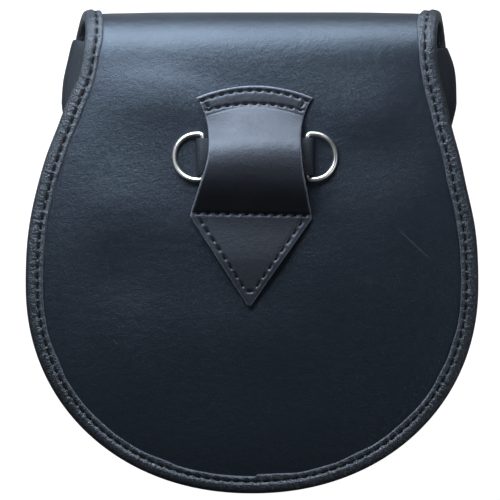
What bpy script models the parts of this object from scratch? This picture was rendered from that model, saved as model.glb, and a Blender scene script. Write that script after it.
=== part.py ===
"""A leather pouch worn on a belt at the front, lying face down on its flap with its back up.

Lengths are in metres. X is to the right of the back, Y towards the fold at the top, Z up out of the back.
"""

import math

import bpy
import numpy as np

# The whole object
WIDTH = 0.1900
HEIGHT = 0.2026
FOLD_RADIUS = 0.0180
BACK_LEVEL = 2 * FOLD_RADIUS

# Leather thicknesses and the clearance between two pieces
BACK_LEATHER = 0.0022
BINDING_LEATHER = 0.0010
FRONT_LEATHER = 0.0018
GUSSET_LEATHER = 0.0014
LOOP_LEATHER = 0.0022
STRAP_LEATHER = 0.0016
GAP = 0.0003

# The folded piece: its lower end and its flap end are both rounded
WIDEST_BELOW_MIDDLE = 0.0138
END_POWER = 2.10
FLAP_END = 0.0460
FLAP_ROUNDING = 0.0540

# The edges of the folded piece curl inwards, more so on the flap, which rests on its middle
BACK_CURL = 0.0010
CURL_REACH = 0.0220
BINDING_OFF_TABLE = 0.0003

# Width of the folded piece with its binding, along the leather from the widest line
# run is a share of HEIGHT, half_width of half WIDTH, centre of WIDTH
BACK_ROWS = {
    "run": (0.0, 0.114, 0.213, 0.263, 0.329, 0.388, 0.433, 0.478, 0.524, 0.596, 0.740, 0.843, 1.130),
    "half_width": (1.0, 0.987, 0.943, 0.916, 0.870, 0.832, 0.799, 0.783, 0.773, 0.779, 0.815, 0.835, 0.845),
    "centre": (0.0, 0.0, 0.0, 0.002, 0.006, 0.011, 0.015, 0.017, 0.020, 0.022, 0.018, 0.015, 0.004),
}

# Widest outline of the pouch itself, from the widest line up to the mouth
# rise is a share of HEIGHT above the widest line, the others as above
POUCH_ROWS = {
    "rise": (0.0, 0.217, 0.325, 0.395, 0.461, 0.496),
    "half_width": (0.918, 0.880, 0.860, 0.864, 0.837, 0.819),
    "centre": (0.0, 0.008, 0.015, 0.016, 0.017, 0.018),
}
POUCH_SHORTER = 0.0075
SEAM_FROM_BINDING = 0.0016
SEAM_FLANGE = 0.0060
FRONT_INSET = 0.0025
WALL_DROP = 0.0035

# Binding
BINDING_WIDTH = 0.0074
BINDING_ROUND = 0.0012

# Belt loop, measured down its length from the top edge
# down is a share of LOOP_LENGTH, half_width and centre of LOOP_HALF
LOOP_LENGTH = 0.0923
LOOP_HALF = 0.0254
LOOP_TOP_BELOW_FOLD = 0.0316
LOOP_ROWS = {
    "down": (0.0, 0.027, 0.064, 0.132, 0.200, 0.323, 0.427, 0.518, 0.591),
    "half_width": (0.961, 0.900, 0.850, 0.803, 0.787, 0.770, 0.870, 0.949, 1.0),
}
LOOP_TIP_HALF = 0.0010
LOOP_ARC = 0.0050
ARC_FADES_BY = LOOP_ROWS["down"][4]
LOOP_WAIST = LOOP_ROWS["down"][5]
LOOP_CENTRE_ROWS = {
    "down": (0.0, 0.323, 0.591, 1.0),
    "centre": (0.041, 0.047, -0.018, -0.044),
}
RAISED_FROM = 0.110
RAISED_TO = 0.555
LOOP_CLEAR_HEIGHT = 0.0130

# Rings and the strap that holds them
WIRE_RADIUS = 0.00105
RING_HALF = 0.0098
RING_CORNER = 0.0017
RING_ARM = 0.0020
BAR_OUTSIDE_LOOP = 0.00205
STRAP_RETURN = 0.0150

# Closure between flap and front
STUD_RADIUS = 0.0060
STUD_ABOVE_FLAP_END = 0.0320

# Derived
HALF_WIDTH = WIDTH / 2
END_LENGTH = HEIGHT / 2 - WIDEST_BELOW_MIDDLE
FOLD_FROM = HEIGHT / 2 + WIDEST_BELOW_MIDDLE - FOLD_RADIUS
FOLD_TO = FOLD_FROM + math.pi * FOLD_RADIUS
FLAP_TO = FOLD_TO + HEIGHT / 2 - FOLD_RADIUS + FLAP_END - FLAP_ROUNDING
MOUTH_RISE = POUCH_ROWS["rise"][-1] * HEIGHT
POUCH_END = END_LENGTH - POUCH_SHORTER
SEAM_INSET = BINDING_WIDTH + SEAM_FROM_BINDING
STRAP_HALF = RING_HALF - RING_CORNER - GAP
BAR_HEIGHT = GAP + STRAP_LEATHER + GAP + WIRE_RADIUS
RING_TILT = math.asin((BAR_HEIGHT - GAP - WIRE_RADIUS) / (RING_ARM + RING_HALF))


def ease(share):
    """A smooth step from 0 to 1."""
    share = min(max(share, 0.0), 1.0)
    return share * share * (3 - 2 * share)


def read(rows, key, column, value):
    """The column of a table at value, on a smooth curve through its rows with level ends."""
    places = np.array(rows[key])
    heights = np.array(rows[column])
    slopes = np.gradient(heights, places)
    slopes[0] = 0.0
    slopes[-1] = 0.0
    i = int(np.clip(np.searchsorted(places, value) - 1, 0, len(places) - 2))
    step = places[i + 1] - places[i]
    t = min(max((value - places[i]) / step, 0.0), 1.0)
    start = (1 + 2 * t) * (1 - t) ** 2 * heights[i] + t * (1 - t) ** 2 * step * slopes[i]
    end = t * t * (3 - 2 * t) * heights[i + 1] + t * t * (t - 1) * step * slopes[i + 1]
    return float(start + end)


def round_end(half_width, length, angle):
    """Across and along a rounded end: angle 0 is its left side, pi its right side."""
    power = 2 / END_POWER
    across = -math.copysign(abs(math.cos(angle)) ** power, math.cos(angle))
    return half_width * across, length * math.sin(angle) ** power


def loop_half(down):
    """Half the width of the loop: a smooth waist down to its corners, then straight to the tip."""
    corner = LOOP_ROWS["down"][-1]
    if down <= corner:
        return LOOP_HALF * read(LOOP_ROWS, "down", "half_width", down)
    return LOOP_HALF + (LOOP_TIP_HALF - LOOP_HALF) * (down - corner) / (1 - corner)


def loop_middle(down):
    return LOOP_HALF * float(np.interp(down, LOOP_CENTRE_ROWS["down"], LOOP_CENTRE_ROWS["centre"]))


LOOP_TOP = HEIGHT / 2 - LOOP_TOP_BELOW_FOLD
RING_LINE = LOOP_TOP - LOOP_WAIST * LOOP_LENGTH
BAR_LEFT = loop_middle(LOOP_WAIST) - loop_half(LOOP_WAIST) - BAR_OUTSIDE_LOOP
BAR_RIGHT = loop_middle(LOOP_WAIST) + loop_half(LOOP_WAIST) + BAR_OUTSIDE_LOOP
# The flap curls enough to hold its binding off the table, and the front lies just behind that binding.
FLAP_CURL = (GAP + BINDING_LEATHER + BINDING_OFF_TABLE) / (1 - ease(BINDING_WIDTH / CURL_REACH))
FRONT_LEVEL = FLAP_CURL + BACK_LEATHER + BINDING_LEATHER + 2 * GAP


def back_edge():
    """The outline of the folded piece with its binding: run, across, and each point's place on the middle line."""
    rows = np.concatenate([
        np.linspace(0, FOLD_FROM, 15),
        np.linspace(FOLD_FROM, FOLD_TO, 12)[1:],
        np.linspace(FOLD_TO, FLAP_TO, 11)[1:],
    ])
    widths = [HALF_WIDTH * read(BACK_ROWS, "run", "half_width", run / HEIGHT) for run in rows]
    middles = [WIDTH * read(BACK_ROWS, "run", "centre", run / HEIGHT) for run in rows]
    edge = []
    middle_line = []
    for angle in np.linspace(0, math.pi, 39)[1:-1]:
        across, along = round_end(widths[0], END_LENGTH, angle)
        edge.append((-along, middles[0] + across))
        middle_line.append((0.0, middles[0]))
    for run, width, middle in zip(rows, widths, middles):
        edge.append((run, middle + width))
        middle_line.append((run, middle))
    for angle in np.linspace(math.pi, 0, 31)[1:-1]:
        across, along = round_end(widths[-1], FLAP_ROUNDING, angle)
        edge.append((FLAP_TO + along, middles[-1] + across))
        middle_line.append((FLAP_TO, middles[-1]))
    for run, width, middle in reversed(list(zip(rows, widths, middles))):
        edge.append((run, middle - width))
        middle_line.append((run, middle))
    return np.array(edge), np.array(middle_line)


def inward(edge, closed=True):
    """The unit direction into the outline at each of its points, for an outline that turns to the left."""
    ahead = np.roll(edge, -1, axis=0) - edge
    behind = edge - np.roll(edge, 1, axis=0)
    if not closed:
        ahead[-1] = behind[-1]
        behind[0] = ahead[0]
    ahead /= np.linalg.norm(ahead, axis=1)[:, None]
    behind /= np.linalg.norm(behind, axis=1)[:, None]
    along = ahead + behind
    along /= np.linalg.norm(along, axis=1)[:, None]
    # The first column is the run and the second is across, so the left turn is written the other way round.
    return np.stack([along[:, 1], -along[:, 0]], axis=1)


BACK_EDGE, BACK_MIDDLE = back_edge()
BACK_INWARD = inward(BACK_EDGE)


def from_edge(run, across):
    """How far a point of the folded piece is from its outline."""
    start = BACK_EDGE
    along = np.roll(BACK_EDGE, -1, axis=0) - start
    point = np.array([run, across])
    share = ((point - start) * along).sum(axis=1) / (along * along).sum(axis=1)
    nearest = start + np.clip(share, 0, 1)[:, None] * along
    return float(np.sqrt(((point - nearest) ** 2).sum(axis=1)).min())


def on_leather(run, across, lift):
    """A point of the folded piece in space, lift being its height out of the outer face."""
    bend = min(max((run - FOLD_FROM) / FOLD_RADIUS, 0.0), math.pi)
    y = min(run, FOLD_FROM) - WIDEST_BELOW_MIDDLE - max(run - FOLD_TO, 0.0)
    curl = BACK_CURL + (FLAP_CURL - BACK_CURL) * ease(bend / math.pi)
    curl *= 1 - ease(from_edge(run, across) / CURL_REACH)
    out = FOLD_RADIUS + lift - curl
    return (across, y + out * math.sin(bend), BACK_LEVEL - FOLD_RADIUS + out * math.cos(bend))


def spread(edge, middle_line, rings, closed):
    """Points and faces of a sheet filled from its outline to its middle line, in steps."""
    count = len(edge)
    points = []
    for ring in rings:
        points.extend(middle_line + ring * (edge - middle_line))
    places = {}
    middle = []
    for place in middle_line:
        key = (round(float(place[0]), 7), round(float(place[1]), 7))
        if key not in places:
            places[key] = len(points)
            points.append(np.array(place))
        middle.append(places[key])
    faces = []
    for k in range(count if closed else count - 1):
        n = (k + 1) % count
        for ring in range(len(rings) - 1):
            near = ring * count
            far = near + count
            faces.append((near + k, near + n, far + n, far + k))
        last = (len(rings) - 1) * count
        if middle[k] == middle[n]:
            faces.append((last + k, last + n, middle[k]))
        else:
            faces.append((last + k, last + n, middle[n], middle[k]))
    return points, faces


def strip(grid):
    """Points and faces of a grid of points, row by row."""
    rows = len(grid)
    columns = len(grid[0])
    points = [point for row in grid for point in row]
    faces = []
    for i in range(rows - 1):
        for j in range(columns - 1):
            a = i * columns + j
            faces.append((a, a + 1, a + columns + 1, a + columns))
    return points, faces


def thicken(points, faces, above, below):
    """A closed sheet: the surface raised by above along its normals and lowered by below, with its rim."""
    points = np.array(points, float)
    normals = []
    for face in faces:
        corners = points[list(face)]
        normal = np.zeros(3)
        for i in range(len(face)):
            normal += np.cross(corners[i], corners[(i + 1) % len(face)])
        normals.append(normal / np.linalg.norm(normal))
    sums = np.zeros_like(points)
    for face, normal in zip(faces, normals):
        for corner in face:
            sums[corner] += normal
    sums /= np.linalg.norm(sums, axis=1)[:, None]
    # At a bend the offset is lengthened, so that the sheet keeps its thickness on both sides of it.
    square = np.ones(len(points))
    for face, normal in zip(faces, normals):
        for corner in face:
            square[corner] = min(square[corner], float(sums[corner] @ normal))
    sums /= np.clip(square, 0.7, 1.0)[:, None]
    count = len(points)
    solid = np.concatenate([points + above * sums, points - below * sums])
    skin = [tuple(face) for face in faces]
    skin += [tuple(count + corner for corner in reversed(face)) for face in faces]
    edges = {(face[i], face[(i + 1) % len(face)]) for face in faces for i in range(len(face))}
    for a, b in sorted(edges):
        if (b, a) not in edges:
            skin.append((b, a, count + a, count + b))
    return solid, skin


def swept(sections):
    """Points and faces of a tube through closed sections, its last joined to its first."""
    count = len(sections)
    size = len(sections[0])
    points = [point for section in sections for point in section]
    faces = []
    for i in range(count):
        following = (i + 1) % count
        for j in range(size):
            k = (j + 1) % size
            faces.append((i * size + j, i * size + k, following * size + k, following * size + j))
    return points, faces


def material(name, colour, roughness, metallic=0.0):
    made = bpy.data.materials.new(name)
    made.use_nodes = True
    shader = made.node_tree.nodes["Principled BSDF"]
    shader.inputs["Base Color"].default_value = (*colour, 1.0)
    shader.inputs["Roughness"].default_value = roughness
    shader.inputs["Metallic"].default_value = metallic
    return made


def to_mesh(name, shape, made_of, origin=(0.0, 0.0, 0.0)):
    """An object from points in the world, with its origin at the given one."""
    points, faces = shape
    mesh = bpy.data.meshes.new(name)
    start = np.array(origin)
    mesh.from_pydata([tuple(np.array(point) - start) for point in points], [], faces)
    mesh.materials.append(made_of)
    mesh.shade_smooth()
    mesh.set_sharp_from_angle(angle=math.radians(40))
    thing = bpy.data.objects.new(name, mesh)
    thing.location = tuple(start)
    bpy.context.scene.collection.objects.link(thing)
    return thing


def back_flap():
    edge = BACK_EDGE + (BINDING_LEATHER + GAP) * BACK_INWARD
    flat, faces = spread(edge, BACK_MIDDLE, (1.0, 0.93, 0.84, 0.66, 0.36), True)
    outer = [on_leather(run, across, 0.0) for run, across in flat]
    inner = [on_leather(run, across, -BACK_LEATHER) for run, across in flat]
    count = len(outer)
    rim = len(edge)
    skin = [tuple(face) for face in faces]
    skin += [tuple(count + corner for corner in reversed(face)) for face in faces]
    skin += [(k, count + k, count + (k + 1) % rim, (k + 1) % rim) for k in range(rim)]
    return outer + inner, skin


def edge_binding():
    face = GAP + BINDING_LEATHER
    back = -BACK_LEATHER - face
    section = (
        (BINDING_WIDTH, GAP),
        (BINDING_WIDTH, face),
        (BINDING_ROUND, face),
        (BINDING_ROUND / 4, face / 2),
        (0.0, -BACK_LEATHER / 2),
        (BINDING_ROUND / 4, back + face / 2),
        (BINDING_ROUND, back),
        (BINDING_WIDTH, back),
        (BINDING_WIDTH, -BACK_LEATHER - GAP),
        (BINDING_LEATHER, -BACK_LEATHER - GAP),
        (BINDING_LEATHER, GAP),
    )
    sections = []
    for (run, across), (run_in, across_in) in zip(BACK_EDGE, BACK_INWARD):
        sections.append([
            on_leather(run + inset * run_in, across + inset * across_in, lift) for inset, lift in section
        ])
    return swept(sections)


def pouch_edge(inset):
    """The outline of the pouch from its left mouth corner round to the right one: rise, across, middle line."""
    rows = np.linspace(MOUTH_RISE, 0, 13)
    widths = [HALF_WIDTH * read(POUCH_ROWS, "rise", "half_width", rise / HEIGHT) for rise in rows]
    middles = [WIDTH * read(POUCH_ROWS, "rise", "centre", rise / HEIGHT) for rise in rows]
    edge = []
    middle_line = []
    for rise, width, middle in zip(rows, widths, middles):
        edge.append((rise, middle - width))
        middle_line.append((rise, middle))
    for angle in np.linspace(0, math.pi, 31)[1:-1]:
        across, along = round_end(widths[-1], POUCH_END, angle)
        edge.append((-along, middles[-1] + across))
        middle_line.append((0.0, middles[-1]))
    for rise, width, middle in reversed(list(zip(rows, widths, middles))):
        edge.append((rise, middle + width))
        middle_line.append((rise, middle))
    edge = np.array(edge)
    inside = inward(edge, closed=False)
    # The two mouth ends keep level, so the mouth stays straight.
    inside[0] = (0.0, 1.0)
    inside[-1] = (0.0, -1.0)
    return edge + inset * inside, np.array(middle_line), inside


def seam_line():
    """Where the gusset meets the back, for each point of the pouch outline, with the direction inwards."""
    pouch, middle_line, inside = pouch_edge(0.0)
    seam = []
    for (rise, across), (anchor_rise, anchor), direction in zip(pouch, middle_line, inside):
        if anchor_rise > 0:
            width = HALF_WIDTH * read(BACK_ROWS, "run", "half_width", rise / HEIGHT)
            middle = WIDTH * read(BACK_ROWS, "run", "centre", rise / HEIGHT)
            seam.append((rise, middle + math.copysign(width - SEAM_INSET, across - anchor)))
            continue
        away = np.array([rise, across - anchor])
        share = (abs(away[1] / HALF_WIDTH) ** END_POWER + abs(away[0] / END_LENGTH) ** END_POWER) ** (-1 / END_POWER)
        on_back = away * share
        seam.append(tuple(on_back * (1 - SEAM_INSET / np.linalg.norm(on_back)) + np.array([0.0, anchor])))
    return pouch, np.array(seam), inside


def gusset():
    pouch, seam, inside = seam_line()
    back_lift = -BACK_LEATHER - GAP - GUSSET_LEATHER / 2
    front_z = FRONT_LEVEL + FRONT_LEATHER + GAP + GUSSET_LEATHER / 2
    middle_z = (on_leather(0.0, 0.0, back_lift)[2] + front_z) / 2
    grid = []
    for widest, meeting, direction in zip(pouch, seam, inside):
        flange = meeting + SEAM_FLANGE * direction
        front = widest + (FRONT_INSET + GUSSET_LEATHER) * direction
        front_flange = front + SEAM_FLANGE * direction
        y_down = -WIDEST_BELOW_MIDDLE
        row = [on_leather(flange[0], flange[1], back_lift), on_leather(meeting[0], meeting[1], back_lift)]
        start = np.array(on_leather(meeting[0], meeting[1], back_lift - WALL_DROP))
        end = np.array([front[1], front[0] + y_down, front_z + WALL_DROP])
        through = np.array([widest[1], widest[0] + y_down, middle_z])
        through += np.array([direction[1], direction[0], 0.0]) * GUSSET_LEATHER / 2
        pull = 2 * through - (start + end) / 2
        for t in (0.0, 0.25, 0.5, 0.75, 1.0):
            row.append(tuple((1 - t) ** 2 * start + 2 * t * (1 - t) * pull + t * t * end))
        row.append((front[1], front[0] + y_down, front_z))
        row.append((front_flange[1], front_flange[0] + y_down, front_z))
        grid.append(row)
    points, faces = strip(grid)
    return thicken(points, faces, GUSSET_LEATHER / 2, GUSSET_LEATHER / 2)


def pouch_front():
    edge, middle_line, _ = pouch_edge(FRONT_INSET)
    flat, faces = spread(edge, middle_line, (1.0, 0.8, 0.45), False)
    points = [(across, rise - WIDEST_BELOW_MIDDLE, FRONT_LEVEL) for rise, across in flat]
    return thicken(points, faces, FRONT_LEATHER, 0.0)


def belt_loop():
    downs = [0.0, 0.03, 0.07]
    downs += list(np.linspace(RAISED_FROM, RAISED_TO, 15))
    downs += [LOOP_ROWS["down"][-1], 0.66, 0.76, 0.88, 0.97, 1.0]
    grid = []
    for down in downs:
        arc = LOOP_ARC * (1 - ease(down / ARC_FADES_BY))
        raised = (down - RAISED_FROM) / (RAISED_TO - RAISED_FROM)
        height = LOOP_CLEAR_HEIGHT * math.sin(math.pi * min(max(raised, 0.0), 1.0)) ** 2
        half = loop_half(down)
        middle = loop_middle(down)
        row = []
        for share in (-1.0, -0.72, -0.38, 0.0, 0.38, 0.72, 1.0):
            y = LOOP_TOP - down * LOOP_LENGTH - arc * share * share
            row.append((middle + share * half, y, BACK_LEVEL + GAP + LOOP_LEATHER / 2 + height))
        grid.append(row)
    points, faces = strip(grid)
    faces = [tuple(reversed(face)) for face in faces]
    return thicken(points, faces, LOOP_LEATHER / 2, LOOP_LEATHER / 2)


def ring_strap():
    """A strap lying on the back, its ends turned over the two bars and laid back on itself."""
    bend = WIRE_RADIUS + GAP + STRAP_LEATHER / 2
    level = BACK_LEVEL + GAP + STRAP_LEATHER / 2
    upper = level + STRAP_LEATHER + GAP
    path = []
    for side, bar in ((-1, BAR_LEFT), (1, BAR_RIGHT)):
        half = []
        for share in np.linspace(1, 0, 7):
            rise = ease(1 - share)
            half.append((bar - side * STRAP_RETURN * share, upper + (level + 2 * bend - upper) * rise))
        for angle in np.linspace(90, -90, 11)[1:]:
            turn = math.radians(angle)
            half.append((bar + side * bend * math.cos(turn), level + bend + bend * math.sin(turn)))
        path += half if side < 0 else reversed(half)
    grid = [[(x, RING_LINE - STRAP_HALF, z), (x, RING_LINE + STRAP_HALF, z)] for x, z in path]
    points, faces = strip(grid)
    return thicken(points, faces, STRAP_LEATHER / 2, STRAP_LEATHER / 2)


def d_ring(bar, side):
    """A ring of round wire with a straight bar, lying outwards from the bar and down onto the back."""
    line = [(0.0, -RING_HALF + RING_CORNER), (0.0, 0.0), (0.0, RING_HALF - RING_CORNER)]
    for angle in (150, 120, 90):
        turn = math.radians(angle)
        line.append((RING_CORNER + RING_CORNER * math.cos(turn), RING_HALF - RING_CORNER + RING_CORNER * math.sin(turn)))
    for angle in np.linspace(90, -90, 19):
        turn = math.radians(angle)
        line.append((RING_ARM + RING_HALF * math.cos(turn), RING_HALF * math.sin(turn)))
    for angle in (90, 120, 150):
        turn = math.radians(angle)
        line.append((RING_CORNER + RING_CORNER * math.cos(turn), -RING_HALF + RING_CORNER - RING_CORNER * math.sin(turn)))
    line = np.array(line)
    along = np.roll(line, -1, axis=0) - np.roll(line, 1, axis=0)
    along /= np.linalg.norm(along, axis=1)[:, None]
    outward = np.stack([along[:, 1], -along[:, 0]], axis=1)
    sections = []
    for place, out in zip(line, outward):
        section = []
        for angle in np.linspace(0, 360, 11)[:-1]:
            turn = math.radians(angle)
            reach, y = place + WIRE_RADIUS * math.cos(turn) * out
            up = WIRE_RADIUS * math.sin(turn)
            x = reach * math.cos(RING_TILT) + up * math.sin(RING_TILT)
            z = up * math.cos(RING_TILT) - reach * math.sin(RING_TILT)
            section.append((bar + side * x, RING_LINE + y, BACK_LEVEL + BAR_HEIGHT + z))
        sections.append(section)
    points, faces = swept(sections)
    if side > 0:
        faces = [tuple(reversed(face)) for face in faces]
    return points, faces


def press_stud():
    low = BACK_LEATHER + GAP
    high = FRONT_LEVEL - GAP
    turns = np.linspace(0, 2 * math.pi, 25)[:-1]
    middle = STUD_ABOVE_FLAP_END - FLAP_END
    ring = [(STUD_RADIUS * math.cos(turn), middle + STUD_RADIUS * math.sin(turn)) for turn in turns]
    points = [(x, y, low) for x, y in ring] + [(x, y, high) for x, y in ring]
    count = len(ring)
    faces = [tuple(reversed(range(count))), tuple(range(count, 2 * count))]
    faces += [(k, (k + 1) % count, count + (k + 1) % count, count + k) for k in range(count)]
    return points, faces


for old in list(bpy.data.objects):
    bpy.data.objects.remove(old)

smooth_leather = material("black_leather", (0.017, 0.021, 0.030), 0.42)
soft_leather = material("soft_black_leather", (0.013, 0.016, 0.021), 0.60)
loop_leather = material("loop_leather", (0.018, 0.020, 0.028), 0.36)
nickel = material("polished_nickel", (0.70, 0.69, 0.66), 0.16, 1.0)

to_mesh("back_flap", back_flap(), smooth_leather)
to_mesh("edge_binding", edge_binding(), soft_leather)
to_mesh("pouch_front", pouch_front(), smooth_leather)
to_mesh("gusset", gusset(), soft_leather)
to_mesh("belt_loop", belt_loop(), loop_leather)
to_mesh("ring_strap", ring_strap(), loop_leather)
ring_height = BACK_LEVEL + BAR_HEIGHT
to_mesh("d_ring_left", d_ring(BAR_LEFT, -1), nickel, (BAR_LEFT, RING_LINE, ring_height))
to_mesh("d_ring_right", d_ring(BAR_RIGHT, 1), nickel, (BAR_RIGHT, RING_LINE, ring_height))
to_mesh("press_stud", press_stud(), nickel)
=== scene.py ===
import math

import bpy
import numpy as np
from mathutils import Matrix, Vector


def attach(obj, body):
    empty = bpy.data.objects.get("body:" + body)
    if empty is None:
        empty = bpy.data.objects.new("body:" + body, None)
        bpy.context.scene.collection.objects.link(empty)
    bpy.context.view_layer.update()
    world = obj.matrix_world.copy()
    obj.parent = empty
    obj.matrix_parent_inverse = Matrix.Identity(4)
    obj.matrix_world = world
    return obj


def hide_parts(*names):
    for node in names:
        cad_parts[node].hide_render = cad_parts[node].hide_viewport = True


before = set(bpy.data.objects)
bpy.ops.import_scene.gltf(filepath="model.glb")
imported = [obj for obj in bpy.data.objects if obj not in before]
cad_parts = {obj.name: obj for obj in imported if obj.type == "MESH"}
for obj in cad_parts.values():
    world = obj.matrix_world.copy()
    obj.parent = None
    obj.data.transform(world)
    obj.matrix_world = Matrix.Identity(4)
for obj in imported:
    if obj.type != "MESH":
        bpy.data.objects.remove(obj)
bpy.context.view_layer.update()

# Back panel, fold and front flap
# One piece of smooth black cowhide, 2.2 mm thick. It is the round-bottomed back, bends over the top
# and comes down the front as the flap. It is glossy, with a fine grain and soft hollows from wear.

WIDTH, HEIGHT = 0.1900, 0.2026
FOLD_RADIUS = 0.0180
BACK_LEVEL = 2 * FOLD_RADIUS
BACK_LEATHER = 0.0022
WIDEST_BELOW_MIDDLE = 0.0138
END_POWER = 2.10
FLAP_END, FLAP_ROUNDING = 0.0460, 0.0540
END_LENGTH = HEIGHT / 2 - WIDEST_BELOW_MIDDLE
FOLD_FROM = HEIGHT / 2 + WIDEST_BELOW_MIDDLE - FOLD_RADIUS
FOLD_TO = FOLD_FROM + math.pi * FOLD_RADIUS
FLAP_TO = FOLD_TO + HEIGHT / 2 - FOLD_RADIUS + FLAP_END - FLAP_ROUNDING
BACK_CURL, FLAP_CURL, CURL_REACH = 0.0010, 0.00217, 0.0220
FOLD_EDGE_RISE = 0.0008
EDGE_POINTS, JOIN_ACROSS = 1700, 0.0016
# along the leather from the widest line, as shares of HEIGHT; half width of WIDTH / 2; centre of WIDTH
BACK_RUN = (0.0, 0.114, 0.213, 0.263, 0.329, 0.388, 0.433, 0.478, 0.524, 0.596, 0.740, 0.843, 1.130)
BACK_HALF = (1.0, 0.987, 0.943, 0.916, 0.870, 0.832, 0.799, 0.784, 0.777, 0.789, 0.828, 0.848, 0.857)
BACK_CENTRE = (0.0, 0.0, 0.0, 0.002, 0.006, 0.011, 0.015, 0.017, 0.020, 0.022, 0.018, 0.015, 0.004)


def ease(share):
    share = np.clip(share, 0.0, 1.0)
    return share * share * (3 - 2 * share)


def smooth_row(places, heights, value):
    """A smooth curve through a short table, level at its two ends."""
    places, heights = np.array(places), np.array(heights)
    slopes = np.gradient(heights, places)
    slopes[0] = slopes[-1] = 0.0
    value = np.clip(np.asarray(value, float), places[0], places[-1])
    i = np.clip(np.searchsorted(places, value) - 1, 0, len(places) - 2)
    step = places[i + 1] - places[i]
    t = (value - places[i]) / step
    start = (1 + 2 * t) * (1 - t) ** 2 * heights[i] + t * (1 - t) ** 2 * step * slopes[i]
    return start + t * t * (3 - 2 * t) * heights[i + 1] + t * t * (t - 1) * step * slopes[i + 1]


def round_end(half, length, angle):
    power = 2 / END_POWER
    across = -np.sign(np.cos(angle)) * np.abs(np.cos(angle)) ** power
    return half * across, length * np.sin(angle) ** power


def leather_edge():
    """The outline of the whole folded piece in the flat, run and across, a point about every 0.8 mm."""
    rows = np.linspace(0, FLAP_TO, 400)
    half = WIDTH / 2 * smooth_row(BACK_RUN, BACK_HALF, rows / HEIGHT)
    middle = WIDTH * smooth_row(BACK_RUN, BACK_CENTRE, rows / HEIGHT)
    low_across, low_along = round_end(half[0], END_LENGTH, np.linspace(0, math.pi, 500)[1:-1])
    end_across, end_along = round_end(half[-1], FLAP_ROUNDING, np.linspace(math.pi, 0, 400)[1:-1])
    run = np.concatenate([-low_along, rows, FLAP_TO + end_along, rows[::-1]])
    across = np.concatenate([
        middle[0] + low_across, middle + half, middle[-1] + end_across, (middle - half)[::-1],
    ])
    loop = np.stack([run, across], axis=1)
    # start at the bottom of the back, where the binding is joined
    at_bottom = loop[:, 0] < -0.080
    join = int(np.argmin(np.where(at_bottom, np.abs(loop[:, 1] - JOIN_ACROSS), 1.0)))
    loop = np.roll(loop, -join, axis=0)
    closed = np.concatenate([loop, loop[:1]])
    travel = np.concatenate([[0], np.cumsum(np.linalg.norm(np.diff(closed, axis=0), axis=1))])
    steps = np.linspace(0, travel[-1], EDGE_POINTS + 1)[:-1]
    even = np.stack([np.interp(steps, travel, closed[:, k]) for k in (0, 1)], axis=1)
    ahead = np.roll(even, -5, axis=0) - np.roll(even, 5, axis=0)
    ahead /= np.linalg.norm(ahead, axis=1)[:, None]
    return even, np.stack([ahead[:, 1], -ahead[:, 0]], axis=1), steps, travel[-1]


EDGE, EDGE_IN, EDGE_TRAVEL, EDGE_LENGTH = leather_edge()

# soft rises and hollows in the back: x, y, reach, height
HOLLOWS = (
    (-0.046, 0.066, 0.016, 0.0010),
    (-0.029, 0.065, 0.012, 0.0013),
    (-0.018, 0.073, 0.009, -0.0005),
    (0.050, 0.058, 0.013, 0.0012),
    (0.056, 0.042, 0.015, -0.0007),
    (0.050, 0.018, 0.018, 0.0008),
    (-0.052, 0.018, 0.017, 0.0011),
    (-0.054, -0.010, 0.014, -0.0008),
    (-0.040, -0.034, 0.016, 0.0004),
    (0.036, -0.012, 0.018, 0.0009),
    (0.000, -0.034, 0.015, 0.0009),
)


def fold_rise(bend, inset):
    """On the fold the edges stay higher than the flap's curl would have them."""
    return FOLD_EDGE_RISE * np.sin(bend) ** 2 * (1 - ease(inset / CURL_REACH))


def on_leather(run, across, lift, inset):
    """Where points of the folded leather lie in space, lift being out of its outer face."""
    run, across, lift, inset = np.broadcast_arrays(np.asarray(run, float), across, lift, inset)
    bend = np.clip((run - FOLD_FROM) / FOLD_RADIUS, 0.0, math.pi)
    y = np.minimum(run, FOLD_FROM) - WIDEST_BELOW_MIDDLE - np.maximum(run - FOLD_TO, 0.0)
    curl = BACK_CURL + (FLAP_CURL - BACK_CURL) * ease(bend / math.pi)
    curl = curl * (1 - ease(inset / CURL_REACH))
    out = FOLD_RADIUS + lift - curl + fold_rise(bend, inset)
    for x0, y0, reach, height in HOLLOWS:
        near = np.exp(-((across - x0) ** 2 + (y - y0) ** 2) / reach ** 2)
        out = out + height * near * (bend < 1e-6)
    return np.stack([across, y + out * np.sin(bend), BACK_LEVEL - FOLD_RADIUS + out * np.cos(bend)], axis=-1)


def nothing_selected():
    if bpy.context.mode != "OBJECT":
        bpy.ops.object.mode_set(mode="OBJECT")
    bpy.ops.object.select_all(action="DESELECT")


def pick(thing):
    nothing_selected()
    thing.select_set(True)
    bpy.context.view_layer.objects.active = thing


def apply_all(thing):
    pick(thing)
    for modifier in list(thing.modifiers):
        bpy.ops.object.modifier_apply(modifier=modifier.name)


def from_node(name, new_name, levels):
    """A copy of a CAD node with its corners joined and its faces made four-sided, then subdivided."""
    nothing_selected()
    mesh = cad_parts[name].data.copy()
    thing = bpy.data.objects.new(new_name, mesh)
    bpy.context.scene.collection.objects.link(thing)
    thing.matrix_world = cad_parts[name].matrix_world
    mesh.materials.clear()
    pick(thing)
    bpy.ops.object.transform_apply(location=True, rotation=True, scale=True)
    bpy.ops.object.mode_set(mode="EDIT")
    bpy.ops.mesh.select_all(action="SELECT")
    bpy.ops.mesh.remove_doubles(threshold=0.00001)
    bpy.ops.mesh.tris_convert_to_quads(face_threshold=0.7, shape_threshold=1.2)
    bpy.ops.object.mode_set(mode="OBJECT")
    if levels:
        subdivide = thing.modifiers.new("subdivide", "SUBSURF")
        subdivide.levels = subdivide.render_levels = levels
        apply_all(thing)
    pick(thing)
    bpy.ops.object.shade_smooth()
    return thing


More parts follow.
